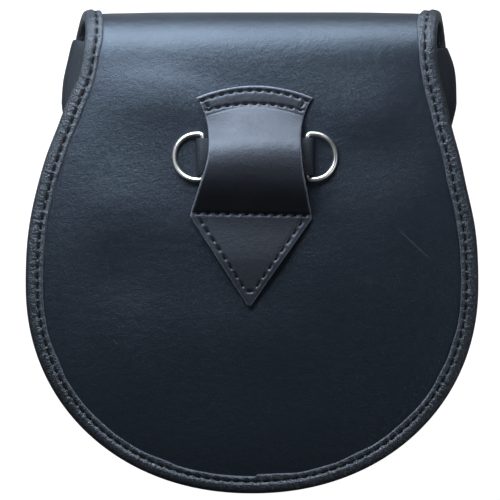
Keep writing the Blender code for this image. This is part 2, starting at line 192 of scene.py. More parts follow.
def mesh_points(thing):
    points = np.empty(len(thing.data.vertices) * 3)
    thing.data.vertices.foreach_get("co", points)
    return points.reshape(-1, 3)


def set_points(thing, points):
    thing.data.vertices.foreach_set("co", np.ascontiguousarray(points, float).ravel())
    thing.data.update()


leather = from_node("back_flap", "back_and_flap_leather", 2)
points = mesh_points(leather)
beyond = points[:, 1] - (FOLD_FROM - WIDEST_BELOW_MIDDLE)
for x0, y0, reach, height in HOLLOWS:
    near = np.exp(-((points[:, 0] - x0) ** 2 + (points[:, 1] - y0) ** 2) / reach ** 2)
    # only the leather over the pouch, and only up to where the fold begins
    over_pouch = ease((points[:, 2] - 0.030) / 0.003)
    before_fold = ease(-beyond / 0.012)
    points[:, 2] += height * near * over_pouch * before_fold
turned = np.arctan2(np.maximum(beyond, 0.0), points[:, 2] - (BACK_LEVEL - FOLD_RADIUS))
where = (FOLD_FROM + turned * FOLD_RADIUS) / HEIGHT
half = WIDTH / 2 * smooth_row(BACK_RUN, BACK_HALF, where)
middle = WIDTH * smooth_row(BACK_RUN, BACK_CENTRE, where)
inset = half - np.abs(points[:, 0] - middle)
rise = fold_rise(turned, np.maximum(inset, 0.0)) * (beyond > 0)
points[:, 1] += rise * np.sin(turned)
points[:, 2] += rise * np.cos(turned)
set_points(leather, points)


def node_tree(name):
    made = bpy.data.materials.new(name)
    made.use_nodes = True
    return made, made.node_tree, made.node_tree.nodes["Principled BSDF"]


def grain_group():
    """Leather grain: closed cells with fine creases, and a slow mottle over them."""
    group = bpy.data.node_groups.new("leather_grain", "ShaderNodeTree")
    for label in ("Cells", "Crease depth", "Mottle size"):
        group.interface.new_socket(label, in_out="INPUT", socket_type="NodeSocketFloat")
    for label in ("Height", "Mottle"):
        group.interface.new_socket(label, in_out="OUTPUT", socket_type="NodeSocketFloat")
    nodes, links = group.nodes, group.links
    given = nodes.new("NodeGroupInput")
    out = nodes.new("NodeGroupOutput")
    where = nodes.new("ShaderNodeTexCoord")
    warp = nodes.new("ShaderNodeTexNoise")
    warp.inputs["Scale"].default_value = 220
    warp.inputs["Detail"].default_value = 2
    links.new(where.outputs["Object"], warp.inputs["Vector"])
    shift = nodes.new("ShaderNodeVectorMath")
    shift.operation = "MULTIPLY_ADD"
    shift.inputs[1].default_value = (0.0012, 0.0012, 0.0012)
    links.new(warp.outputs["Color"], shift.inputs[0])
    links.new(where.outputs["Object"], shift.inputs[2])
    cells = nodes.new("ShaderNodeTexVoronoi")
    cells.feature = "DISTANCE_TO_EDGE"
    links.new(shift.outputs["Vector"], cells.inputs["Vector"])
    links.new(given.outputs["Cells"], cells.inputs["Scale"])
    crease = nodes.new("ShaderNodeMapRange")
    crease.inputs["From Max"].default_value = 0.22
    links.new(cells.outputs["Distance"], crease.inputs["Value"])
    fine = nodes.new("ShaderNodeTexNoise")
    fine.inputs["Scale"].default_value = 900
    fine.inputs["Detail"].default_value = 3
    links.new(where.outputs["Object"], fine.inputs["Vector"])
    deep = nodes.new("ShaderNodeMath")
    deep.operation = "MULTIPLY"
    links.new(crease.outputs["Result"], deep.inputs[0])
    links.new(given.outputs["Crease depth"], deep.inputs[1])
    total = nodes.new("ShaderNodeMath")
    total.operation = "MULTIPLY_ADD"
    total.inputs[1].default_value = 0.45
    links.new(fine.outputs["Fac"], total.inputs[0])
    links.new(deep.outputs["Value"], total.inputs[2])
    lumps = nodes.new("ShaderNodeTexNoise")
    lumps.inputs["Scale"].default_value = 360
    lumps.inputs["Detail"].default_value = 3
    lumps.inputs["Roughness"].default_value = 0.6
    links.new(where.outputs["Object"], lumps.inputs["Vector"])
    swell = nodes.new("ShaderNodeMath")
    swell.operation = "MULTIPLY_ADD"
    swell.inputs[1].default_value = 1.5
    links.new(lumps.outputs["Fac"], swell.inputs[0])
    links.new(total.outputs["Value"], swell.inputs[2])
    links.new(swell.outputs["Value"], out.inputs["Height"])
    slow = nodes.new("ShaderNodeTexNoise")
    slow.inputs["Detail"].default_value = 4
    slow.inputs["Roughness"].default_value = 0.55
    links.new(where.outputs["Object"], slow.inputs["Vector"])
    links.new(given.outputs["Mottle size"], slow.inputs["Scale"])
    links.new(slow.outputs["Fac"], out.inputs["Mottle"])
    return group


GRAIN = grain_group()
MOTTLE_LOW, MOTTLE_HIGH = 0.32, 0.70


def leather_material(name, dark, light, rough, cells, crease, mottle, bump, tint):
    """A leather from the grain group: colour and gloss vary with the mottle, and the bump is the grain."""
    made, tree, shader = node_tree(name)
    nodes, links = tree.nodes, tree.links
    grain = nodes.new("ShaderNodeGroup")
    grain.node_tree = GRAIN
    grain.inputs["Cells"].default_value = cells
    grain.inputs["Crease depth"].default_value = crease
    grain.inputs["Mottle size"].default_value = mottle
    colour = nodes.new("ShaderNodeMapRange")
    colour.data_type = "FLOAT_VECTOR"
    colour.inputs[7].default_value = (MOTTLE_LOW, MOTTLE_LOW, MOTTLE_LOW)
    colour.inputs[8].default_value = (MOTTLE_HIGH, MOTTLE_HIGH, MOTTLE_HIGH)
    colour.inputs[9].default_value = dark
    colour.inputs[10].default_value = light
    links.new(grain.outputs["Mottle"], colour.inputs[6])
    gloss = nodes.new("ShaderNodeMapRange")
    gloss.inputs["From Min"].default_value = MOTTLE_LOW
    gloss.inputs["From Max"].default_value = MOTTLE_HIGH
    gloss.inputs["To Min"].default_value = rough[1]
    gloss.inputs["To Max"].default_value = rough[0]
    links.new(grain.outputs["Mottle"], gloss.inputs["Value"])
    links.new(gloss.outputs["Result"], shader.inputs["Roughness"])
    raised = nodes.new("ShaderNodeBump")
    raised.inputs["Strength"].default_value = bump
    raised.inputs["Distance"].default_value = 0.0004
    links.new(grain.outputs["Height"], raised.inputs["Height"])
    links.new(raised.outputs["Normal"], shader.inputs["Normal"])
    shader.inputs["Specular Tint"].default_value = (*tint, 1.0)
    shader.inputs["IOR"].default_value = 1.5
    # where the piece's edges are cut or rubbed, the dye is thinner and the fibres show; on the binding this
    # paler colour is also a painted highlight at the bottom of the back
    wear_and_highlight_attribute = nodes.new("ShaderNodeAttribute")
    wear_and_highlight_attribute.attribute_name = "wear_and_painted_highlight"
    spots = nodes.new("ShaderNodeTexNoise")
    spots.inputs["Scale"].default_value = 1400
    spots.inputs["Detail"].default_value = 2
    where = nodes.new("ShaderNodeTexCoord")
    links.new(where.outputs["Object"], spots.inputs["Vector"])
    patchy = nodes.new("ShaderNodeMapRange")
    patchy.inputs["From Min"].default_value = 0.35
    patchy.inputs["From Max"].default_value = 0.62
    patchy.inputs["To Min"].default_value = 0.25
    links.new(spots.outputs["Fac"], patchy.inputs["Value"])
    share = nodes.new("ShaderNodeMath")
    share.operation = "MULTIPLY"
    links.new(wear_and_highlight_attribute.outputs["Fac"], share.inputs[0])
    links.new(patchy.outputs["Result"], share.inputs[1])
    paled_by_wear_and_highlight = nodes.new("ShaderNodeMix")
    paled_by_wear_and_highlight.data_type = "RGBA"
    paled_by_wear_and_highlight.inputs[7].default_value = (0.105, 0.120, 0.150, 1.0)
    links.new(share.outputs["Value"], paled_by_wear_and_highlight.inputs[0])
    links.new(colour.outputs[1], paled_by_wear_and_highlight.inputs[6])
    links.new(paled_by_wear_and_highlight.outputs[2], shader.inputs["Base Color"])
    return made, shader


BLUE_SHEEN = (0.66, 0.81, 1.0)
smooth_black, shader = leather_material(
    "smooth_black_leather", dark=(0.0022, 0.0032, 0.0055), light=(0.0050, 0.0068, 0.0100),
    rough=(0.32, 0.41), cells=1500, crease=0.35, mottle=26, bump=0.32, tint=BLUE_SHEEN,
)
tree = smooth_black.node_tree
polish = shader.inputs["Roughness"].links[0].from_socket
# light scuffs from wear: thin slanting lines in a few patches, duller than the polish round them
slanted = tree.nodes.new("ShaderNodeMapping")
slanted.inputs["Rotation"].default_value = (0.0, 0.0, math.radians(28))
slanted.inputs["Scale"].default_value = (28.0, 1500.0, 28.0)
where = tree.nodes.new("ShaderNodeTexCoord")
tree.links.new(where.outputs["Object"], slanted.inputs["Vector"])
streaks = tree.nodes.new("ShaderNodeTexNoise")
streaks.inputs["Scale"].default_value = 1.0
streaks.inputs["Detail"].default_value = 1
tree.links.new(slanted.outputs["Vector"], streaks.inputs["Vector"])
thin = tree.nodes.new("ShaderNodeMapRange")
thin.inputs["From Min"].default_value = 0.70
thin.inputs["From Max"].default_value = 0.76
tree.links.new(streaks.outputs["Fac"], thin.inputs["Value"])
scuffed = tree.nodes.new("ShaderNodeMath")
scuffed.operation = "MULTIPLY_ADD"
scuffed.inputs[1].default_value = 0.10
tree.links.new(thin.outputs["Result"], scuffed.inputs[0])
tree.links.new(polish, scuffed.inputs[2])
tree.links.new(scuffed.outputs["Value"], shader.inputs["Roughness"])
# one long faint scratch right of the loop, where the dye is rubbed paler along a line
SCRATCH_MIDDLE, SCRATCH_SLANT = (0.0676, 0.0037, 0.0), math.radians(-43)
SCRATCH_LENGTH, SCRATCH_WIDTH = 0.023, 0.0007
beside = tree.nodes.new("ShaderNodeMapping")
beside.vector_type = "TEXTURE"
beside.inputs["Location"].default_value = SCRATCH_MIDDLE
beside.inputs["Rotation"].default_value = (0.0, 0.0, SCRATCH_SLANT)
tree.links.new(where.outputs["Object"], beside.inputs["Vector"])
apart = tree.nodes.new("ShaderNodeSeparateXYZ")
tree.links.new(beside.outputs["Vector"], apart.inputs["Vector"])
scratch = None
for axis, near, far in (
    ("X", SCRATCH_LENGTH * 0.25, SCRATCH_LENGTH * 0.5),
    ("Y", 0.0, SCRATCH_WIDTH / 2),
    ("Z", BACK_LEVEL - 0.004, BACK_LEVEL - 0.006),
):
    # near and far are distances from the scratch's middle, and heights over the table along Z
    distance = tree.nodes.new("ShaderNodeMath")
    distance.operation = "ABSOLUTE"
    tree.links.new(apart.outputs[axis], distance.inputs[0])
    inside = tree.nodes.new("ShaderNodeMapRange")
    inside.inputs["From Min"].default_value = far
    inside.inputs["From Max"].default_value = near
    tree.links.new(distance.outputs["Value"], inside.inputs["Value"])
    if scratch is None:
        scratch = inside.outputs["Result"]
        continue
    both = tree.nodes.new("ShaderNodeMath")
    both.operation = "MULTIPLY"
    tree.links.new(scratch, both.inputs[0])
    tree.links.new(inside.outputs["Result"], both.inputs[1])
    scratch = both.outputs["Value"]
fading = shader.inputs["Base Color"].links[0].from_node.inputs[0]
rubbed_share = fading.links[0].from_socket
paler = tree.nodes.new("ShaderNodeMath")
paler.operation = "MULTIPLY_ADD"
paler.inputs[1].default_value = 0.22
tree.links.new(scratch, paler.inputs[0])
tree.links.new(rubbed_share, paler.inputs[2])
tree.links.new(paler.outputs["Value"], fading)
leather.data.materials.append(smooth_black)
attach(leather, "pouch")
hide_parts("back_flap")

# Edge binding
# A tape of soft pebbled black leather, about 1 mm thick, folded over the whole edge of the back and
# flap and sewn through 5 mm in. It puffs up outside the seam, puckers at each stitch, and its two
# ends overlap at the bottom of the back.

BINDING_WIDTH, BINDING_LEATHER, GAP = 0.0074, 0.0010, 0.0003
SEAM_INSET, SEAM_WANDER = 0.0050, 0.00012
STITCH_PITCH, STITCH_HALF_WIDTH = 0.0043, 0.00046
BINDING_STITCHES = int(round(EDGE_LENGTH / STITCH_PITCH))
BINDING_PITCH = EDGE_LENGTH / BINDING_STITCHES


def ripple(travel, length, seed):
    """A wandering value along the edge, between about -1 and 1, that meets itself at the join."""
    turns = 2 * math.pi * travel / EDGE_LENGTH
    chance = np.random.default_rng(seed)
    first = EDGE_LENGTH / length
    total = np.zeros_like(travel)
    for part in (0.55, 0.8, 1.0, 1.3, 1.7):
        total += np.sin(turns * round(first * part) + chance.uniform(0, 6.3))
    return total / 2.6


# across one face, from the edge to the inner lip, in mm: how far in, and how high over the leather
BINDING_IN = np.array([
    0.0, 0.22, 0.75, 1.6, 2.6, 3.3, 3.82, 4.36, 4.72, 5.0, 5.28, 5.6, 6.1, 6.55, 6.85, 7.25, 7.40,
]) / 1000
BINDING_UP = np.array([
    -1.1, 0.38, 1.02, 1.38, 1.56, 1.66, 1.62, 1.18, 0.84, 0.50, 0.80, 1.08, 1.20, 1.22, 1.20, 0.88, 0.15,
]) / 1000
# bands across the face: how far in the middle of each lies, and its reach
SEAM_BAND, SHOULDER_BAND, CREST_BAND = (SEAM_INSET, 0.0004), (0.0043, 0.0004), (0.00425, 0.00035)
ROLL_BAND, LIP_BAND = (0.0033, 0.0013), (0.0061, 0.0006)
# the rise between two stitches, the pull of each stitch, the puckers, and the slow waves
BRIDGE_RISE, LIP_PULL, SHOULDER_PULL, INWARD_PULL = 0.00062, 0.00010, 0.00006, 0.00010
ROLL_PUCKER, LIP_PUCKER, INWARD_PUCKER, SLOW_RISE = 0.00025, 0.00016, 0.00004, 0.00008
LAP_LENGTH, LAP_RISE = 0.030, 0.00030
# on the inner face of the leather the same relief is weaker, about this level
INNER_RELIEF, INNER_LEVEL = 0.6, 0.0013
LIP_WIDENS_FROM, LIP_WIDENS_OVER = 0.0055, 0.0015


def band(inset, middle, reach):
    return math.exp(-(((inset - middle) / reach) ** 2))


def binding_mesh():
    """The tape as a grid: its points, its faces, and how pale each point is from wear and from painted
    highlight.
    """
    travel = EDGE_TRAVEL
    # a stitch lies in its dent at 1, and between two of them, at -1, the tape rises like a bridge
    phase = np.cos(2 * math.pi * travel / BINDING_PITCH)
    bridge = ease((-0.35 - phase) / 0.5)
    pucker = ripple(travel, 0.0020, 4) * (0.6 + 0.4 * ripple(travel, 0.035, 9))
    slow = ripple(travel, 0.012, 7)
    # the later end laps over the earlier one at the join
    lap = ease(1 - travel / LAP_LENGTH) * ease(travel / 0.0006)
    under = ease((travel - EDGE_LENGTH + LAP_LENGTH) / LAP_LENGTH)
    right_fold = np.exp(-(((EDGE[:, 0] - FOLD_FROM - 0.012) / 0.014) ** 2)) * (EDGE[:, 1] > 0)
    # the tape wanders in width, is wider on the lap and at the fold's right end, narrower under the lap
    wider = 1 + 0.035 * ripple(travel, 0.030, 2) + 0.09 * lap - 0.06 * under + 0.13 * right_fold
    # round the bottom of the back the crest beside the seam and the outer roll are painted paler, a painted
    # highlight
    bottom = ease((-EDGE[:, 0] - 0.052) / 0.018)
    sections, pale_rows_from_wear_and_highlight = [], []
    for face_side in (1, -1):
        order = range(len(BINDING_IN)) if face_side < 0 else range(len(BINDING_IN) - 1, 0, -1)
        relief = 1.0 if face_side > 0 else INNER_RELIEF
        for k in order:
            inset, up = BINDING_IN[k], BINDING_UP[k]
            seam, shoulder = band(inset, *SEAM_BAND), band(inset, *SHOULDER_BAND)
            roll, lip = band(inset, *ROLL_BAND), band(inset, *LIP_BAND)
            if k == 0:
                lift, place = np.full_like(travel, up), np.zeros_like(travel)
            else:
                lift = up
                if face_side < 0 and up > 0.0005:
                    lift = INNER_LEVEL + (up - INNER_LEVEL) * relief
                lift = lift + relief * BRIDGE_RISE * seam * bridge
                lift = lift - relief * (LIP_PULL * lip + SHOULDER_PULL * shoulder) * phase
                lift = lift + relief * (ROLL_PUCKER * roll + LIP_PUCKER * lip) * pucker
                lift = lift + SLOW_RISE * slow * (roll + lip) + LAP_RISE * lap
                if face_side < 0:
                    lift = -BACK_LEATHER - lift
                place = inset * (1 + (wider - 1) * ease((inset - LIP_WIDENS_FROM) / LIP_WIDENS_OVER))
                if k < len(BINDING_IN) - 2:
                    place = place + (INWARD_PULL * phase * (lip - shoulder) + INWARD_PUCKER * pucker)
            sections.append((place, lift))
            # the lip and its cut edge are rubbed paler all round; the crest and roll at the bottom of the
            # back get a painted highlight
            cut_edge = inset > 0.0072
            crest = band(inset, *CREST_BAND) * (face_side > 0)
            pale_from_wear_and_highlight = 0.03 + 0.20 * lip + 0.02 * roll + 0.5 * cut_edge + 0.09 * pucker * (roll + lip)
            pale_from_wear_and_highlight = pale_from_wear_and_highlight + bottom * (0.70 * crest * (0.8 + 0.3 * pucker) + 0.13 * roll)
            pale_rows_from_wear_and_highlight.append(np.clip(pale_from_wear_and_highlight, 0, 1) * (1 - seam))
    # round the two lips and back along the leather, against its two faces
    for inset, lift in (
        (BINDING_WIDTH * 0.985, -BACK_LEATHER - GAP * 0.4),
        (BINDING_LEATHER, -BACK_LEATHER - GAP * 0.4),
        (BINDING_LEATHER, GAP * 0.4),
        (BINDING_WIDTH * 0.985, GAP * 0.4),
    ):
        sections.append((np.full_like(travel, inset), np.full_like(travel, lift)))
        pale_rows_from_wear_and_highlight.append(np.zeros_like(travel))
    places = []
    for inset, lift in sections:
        spot = EDGE + inset[:, None] * EDGE_IN
        places.append(on_leather(spot[:, 0], spot[:, 1], lift, inset))
    places = np.stack(places, axis=1)
    count, size = places.shape[:2]
    i, j = np.meshgrid(np.arange(count), np.arange(size), indexing="ij")
    a = i * size + j
    b = i * size + (j + 1) % size
    c = ((i + 1) % count) * size + (j + 1) % size
    d = ((i + 1) % count) * size + j
    faces = np.stack([a, b, c, d], axis=-1).reshape(-1, 4)
    return places.reshape(-1, 3), faces, np.stack(pale_rows_from_wear_and_highlight, axis=1).ravel()


def weld_and_smooth(thing):
    """Joins corners that coincide, turns every face outwards and shades smooth."""
    pick(thing)
    bpy.ops.object.mode_set(mode="EDIT")
    bpy.ops.mesh.select_all(action="SELECT")
    bpy.ops.mesh.remove_doubles(threshold=0.000001)
    bpy.ops.mesh.normals_make_consistent(inside=False)
    bpy.ops.object.mode_set(mode="OBJECT")
    bpy.ops.object.shade_smooth()


def new_piece(name, points, faces, material, worn=None):
    mesh = bpy.data.meshes.new(name)
    mesh.from_pydata(np.asarray(points, float).tolist(), [], [tuple(map(int, face)) for face in faces])
    mesh.update()
    # worn is how pale each point is: wear on cut edges, and on the binding also a painted highlight
    if worn is not None:
        wear_and_highlight_attribute = mesh.attributes.new("wear_and_painted_highlight", "FLOAT", "POINT")
        wear_and_highlight_attribute.data.foreach_set("value", np.asarray(worn, np.float32).ravel())
    thing = bpy.data.objects.new(name, mesh)
    bpy.context.scene.collection.objects.link(thing)
    weld_and_smooth(thing)
    mesh.materials.append(material)
    return thing


soft_black, shader = leather_material(
    "soft_pebbled_leather", dark=(0.0036, 0.0042, 0.0055), light=(0.0088, 0.0102, 0.0130),
    rough=(0.33, 0.44), cells=1000, crease=0.85, mottle=60, bump=0.46, tint=(0.76, 0.87, 1.0),
)
shader.inputs["Specular IOR Level"].default_value = 0.44
# its paleness is wear on the lip and cut edge, and a painted highlight on the crest and roll at the bottom
# of the back
places, faces, binding_wear_and_highlight = binding_mesh()
binding = new_piece("edge_binding_tape", places, faces, soft_black, binding_wear_and_highlight)
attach(binding, "pouch")
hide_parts("edge_binding")

# Stitches of the binding
# Waxed black thread, 0.9 mm thick, six stitches to the inch, pulled down into the tape. It shows on
# both faces of the leather.

thread, tree, shader = node_tree("waxed_black_thread")
twist = tree.nodes.new("ShaderNodeTexWave")
twist.inputs["Scale"].default_value = 700
twist.inputs["Distortion"].default_value = 1.5
where = tree.nodes.new("ShaderNodeTexCoord")
tree.links.new(where.outputs["Object"], twist.inputs["Vector"])
strand = tree.nodes.new("ShaderNodeMapRange")
strand.data_type = "FLOAT_VECTOR"
strand.inputs[9].default_value = (0.0006, 0.0007, 0.0009)
strand.inputs[10].default_value = (0.0020, 0.0022, 0.0027)
tree.links.new(twist.outputs["Color"], strand.inputs[6])
tree.links.new(strand.outputs[1], shader.inputs["Base Color"])
raised = tree.nodes.new("ShaderNodeBump")
raised.inputs["Strength"].default_value = 0.3
raised.inputs["Distance"].default_value = 0.0001
tree.links.new(twist.outputs["Fac"], raised.inputs["Height"])
tree.links.new(raised.outputs["Normal"], shader.inputs["Normal"])
shader.inputs["Roughness"].default_value = 0.75
shader.inputs["Specular IOR Level"].default_value = 0.12


def one_stitch():
    """A stitch on its own: a ball stretched along X, its ends turned down into the leather."""
    nothing_selected()
    bpy.ops.mesh.primitive_uv_sphere_add(segments=8, ring_count=9, radius=1.0, rotation=(0, math.pi / 2, 0))
    ball = bpy.context.active_object
    bpy.ops.object.transform_apply(location=True, rotation=True, scale=True)
    points = mesh_points(ball)
    faces = [tuple(face.vertices) for face in ball.data.polygons]
    bpy.data.objects.remove(ball)
    points[:, 2] -= 0.9 * np.abs(points[:, 0]) ** 3
    return points, faces


STITCH_POINTS, STITCH_FACES = one_stitch()


def sew(name, places, along, up, length):
    """A row of stitches as one piece, each at its place, lying along and standing up."""
    places, along, up = (np.asarray(v, float) for v in (places, along, up))
    along = along / np.linalg.norm(along, axis=1)[:, None]
    side = np.cross(up, along)
    side /= np.linalg.norm(side, axis=1)[:, None]
    up = np.cross(along, side)
    local = STITCH_POINTS * (length / 2, STITCH_HALF_WIDTH, STITCH_HALF_WIDTH)
    all_points = (
        places[:, None, :]
        + local[None, :, 0:1] * along[:, None, :]
        + local[None, :, 1:2] * side[:, None, :]
        + local[None, :, 2:3] * up[:, None, :]
    )
    faces = []
    for k in range(len(places)):
        faces += [tuple(k * len(local) + c for c in face) for face in STITCH_FACES]
    row = new_piece(name, all_points.reshape(-1, 3), faces, thread)
    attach(row, "pouch")


OUTER_STITCH_LIFT, INNER_STITCH_LIFT = 0.00074, 0.00098


def binding_row(name, face_side):
    """The stitches of the binding on one face: 1 is the outer face of the leather, -1 the inner."""
    steps = np.arange(BINDING_STITCHES) * BINDING_PITCH
    run, across, in_run, in_across = (
        np.interp(steps, np.append(EDGE_TRAVEL, EDGE_LENGTH), np.append(v, v[0]))
        for v in (EDGE[:, 0], EDGE[:, 1], EDGE_IN[:, 0], EDGE_IN[:, 1])
    )
    chance = np.random.default_rng(12)
    inset = SEAM_INSET + chance.uniform(-SEAM_WANDER, SEAM_WANDER, len(steps))
    run, across = run + inset * in_run, across + inset * in_across
    lift = OUTER_STITCH_LIFT if face_side > 0 else -BACK_LEATHER - INNER_STITCH_LIFT
    here = on_leather(run, across, lift, inset)
    out = on_leather(run, across, lift + 0.001 * face_side, inset) - here
    ahead = np.stack([-in_across, in_run], axis=1) * 0.0005
    along = on_leather(run + ahead[:, 0], across + ahead[:, 1], lift, inset) - here
    sew(name, here, along, out, length=0.0032)


binding_row("binding_stitches_outer", 1)
binding_row("binding_stitches_inner", -1)

# Pouch front
# The front wall of the pouch, a plain sheet of the same smooth leather, hidden behind the flap
# when the pouch hangs. Its edge is sewn to the gusset.

front_wall = from_node("pouch_front", "pouch_front_leather", 2)
front_wall.data.materials.append(smooth_black)
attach(front_wall, "pouch")
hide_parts("pouch_front")

# Gusset
# The side of the pouch, a strip of soft thin leather sewn to the back and to the front wall. It
# bulges out past the neck of the back at both sides of the mouth and creases where it bends.

MOUTH_LEVEL, BULGE_REACH = 0.0205, 0.009
NECK_BULGE, SIDE_HOLLOW, CREASE_DEPTH = 0.0034, 0.0012, 0.0005
LEFT_END_HIGHER, RIGHT_END_HIGHER = 0.0012, -0.0020

side_wall = from_node("gusset", "gusset_leather", 2)
points = mesh_points(side_wall)
bulge = np.exp(-((points[:, 2] - MOUTH_LEVEL) / BULGE_REACH) ** 2)
angle = np.arctan2(points[:, 1] + 0.01, points[:, 0])
folds = np.sin(angle * 23 + 1.3) * 0.6 + np.sin(angle * 41 + 0.4) * 0.4
at_neck = NECK_BULGE * ease((points[:, 1] - 0.050) / 0.012)
at_side = SIDE_HOLLOW * ease(points[:, 1] / 0.03)
reach = bulge * (at_neck - at_side + CREASE_DEPTH * folds)
points[:, 0] += np.cos(angle) * reach
higher = np.where(points[:, 0] < 0, LEFT_END_HIGHER, RIGHT_END_HIGHER)
higher = higher * bulge * ease((points[:, 1] - 0.074) / 0.012)
points[:, 1] += np.sin(angle) * reach + higher
set_points(side_wall, points)
dull_black, shader = leather_material(
    "dull_gusset_leather", dark=(0.0048, 0.0053, 0.0066), light=(0.0110, 0.0120, 0.0145),
    rough=(0.55, 0.68), cells=1000, crease=0.7, mottle=50, bump=0.32, tint=(0.70, 0.84, 1.0),
)
shader.inputs["Specular IOR Level"].default_value = 0.26
side_wall.data.materials.append(dull_black)
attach(side_wall, "pouch")
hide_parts("gusset")

# Belt loop
# One piece of firm glossy leather, 2.2 mm thick, waisted like an hourglass and pointed at the lower
# end. It is sewn flat at both ends and bows up between them so that a belt can pass. Its cut edges
# are burnished a little lighter.

LOOP_LENGTH, LOOP_HALF, LOOP_LEATHER = 0.0923, 0.0254, 0.0022
LOOP_TOP = HEIGHT / 2 - 0.0316
LOOP_DOWN = (0.0, 0.027, 0.064, 0.132, 0.200, 0.260, 0.323, 0.400, 0.453, 0.522, 0.601)
LOOP_WIDE = (0.961, 0.905, 0.860, 0.805, 0.767, 0.757, 0.774, 0.825, 0.874, 0.937, 1.0)
LOOP_CORNER, LOOP_TIP_HALF, LOOP_LEAN = 0.601, 0.0006, 0.0005
LOOP_ARC, ARC_FADES_BY = 0.0050, 0.2
RAISED_FROM, RAISED_TO, LOOP_CLEAR_HEIGHT = 0.092, 0.580, 0.0122
SIDE_LAG, SIDE_SAG, POINT_STANDS_UP = 0.035, 0.0006, 0.0010
POINT_SEAM_INSET = 0.0033
DENT_DEPTH, STITCH_SUNK, EDGE_ROUNDING = 0.00075, 0.00058, 0.00045
# how far down the loop the middle of the rings lies
RING_DOWN = 0.323
# along the bow from the upper seam to the lower, and its height there
BOW_ALONG = (
    0.0, 0.03, 0.06, 0.12, 0.20, 0.25, 0.30, 0.35, 0.40,
    0.45, 0.51, 0.60, 0.70, 0.80, 0.88, 0.95, 1.0,
)
BOW_HEIGHT = (
    0.0, 0.04, 0.12, 0.29, 0.515, 0.65, 0.78, 0.89, 0.957,
    0.988, 1.0, 0.968, 0.86, 0.64, 0.385, 0.15, 0.0,
)


def loop_half(down):
    upper = LOOP_HALF * smooth_row(LOOP_DOWN, LOOP_WIDE, down)
    lower = LOOP_HALF + (LOOP_TIP_HALF - LOOP_HALF) * (down - LOOP_CORNER) / (1 - LOOP_CORNER)
    return np.where(np.asarray(down) <= LOOP_CORNER, upper, lower)


def loop_middle(down):
    return LOOP_HALF * np.interp(down, (0.0, RING_DOWN, LOOP_CORNER, 1.0), (0.041, 0.047, -0.018, -0.044))


def bow(raised):
    return smooth_row(BOW_ALONG, BOW_HEIGHT, raised)


def on_loop(down, share, lift=0.0):
    """A place on the loop's outer face: down its length, share of its half width from the middle."""
    down, share = np.broadcast_arrays(np.asarray(down, float), np.asarray(share, float))
    # each side lifts a little later than the middle, along the curve of the stitches
    below = down - SIDE_LAG * share * share * (1 - ease(down / 0.5))
    raised = np.clip((below - RAISED_FROM) / (RAISED_TO - RAISED_FROM), 0, 1)
    height = LOOP_CLEAR_HEIGHT * bow(raised)
    step = 0.002
    climb = LOOP_CLEAR_HEIGHT * (bow(raised + step) - bow(raised - step))
    slope = climb / (2 * step * (RAISED_TO - RAISED_FROM) * LOOP_LENGTH)
    # the point stands up slightly from the row across to its tip
    height = height + POINT_STANDS_UP * ease((down - LOOP_CORNER) / 0.20) * (1 - ease((down - 0.78) / 0.22))
    arc = LOOP_ARC * (1 - ease(down / ARC_FADES_BY))
    x = loop_middle(down) + share * loop_half(down)
    lean = LOOP_LEAN * share * ease((down - 0.3) / 0.25) * (1 - ease((down - LOOP_CORNER) / 0.35))
    y = LOOP_TOP - down * LOOP_LENGTH - arc * share * share - lean
    tilt = np.arctan(slope)
    level = LOOP_LEATHER / 2 + lift
    # the sides of the bow hang a little lower than its middle
    sag = SIDE_SAG * np.sin(math.pi * raised) ** 2 * share ** 2
    z = BACK_LEVEL + GAP + LOOP_LEATHER / 2 + height - sag + level * np.cos(tilt)
    return np.stack([x, y + level * np.sin(tilt), z], axis=-1)


def loop_seams():
    """The stitch rows, each as its places and the places a little further on: two arcs at the top with
    a stitch between their ends, a row across, and the point's two sides with a stitch at the tip."""
    rows = []
    # how far down the loop a row lies, half its length, and how many stitches it has
    for down, half, count in ((0.0228, 0.0216, 12), (0.0823, 0.0190, 11), (0.584, 0.0222, 12)):
        share = np.linspace(-1, 1, count) * half / float(loop_half(down))
        down = np.full(count, down)
        rows.append((down, share, down, share + 0.02))
    for side in (-1, 1):
        start = np.array([0.053]), np.array([0.895 * side])
        end = np.array([0.063]), np.array([0.885 * side])
        rows.append((*start, *end))
    for side in (-1, 1):
        down = np.linspace(0.622, 0.902, 8)
        further = down + 0.01
        start = down, side * (1 - POINT_SEAM_INSET / loop_half(down))
        end = further, side * (1 - POINT_SEAM_INSET / loop_half(further))
        rows.append((*start, *end))
    tip = np.array([0.934])
    rows.append((tip, 0 * tip, tip, 0 * tip + 0.1))
    return rows


LOOP_SEAMS = loop_seams()


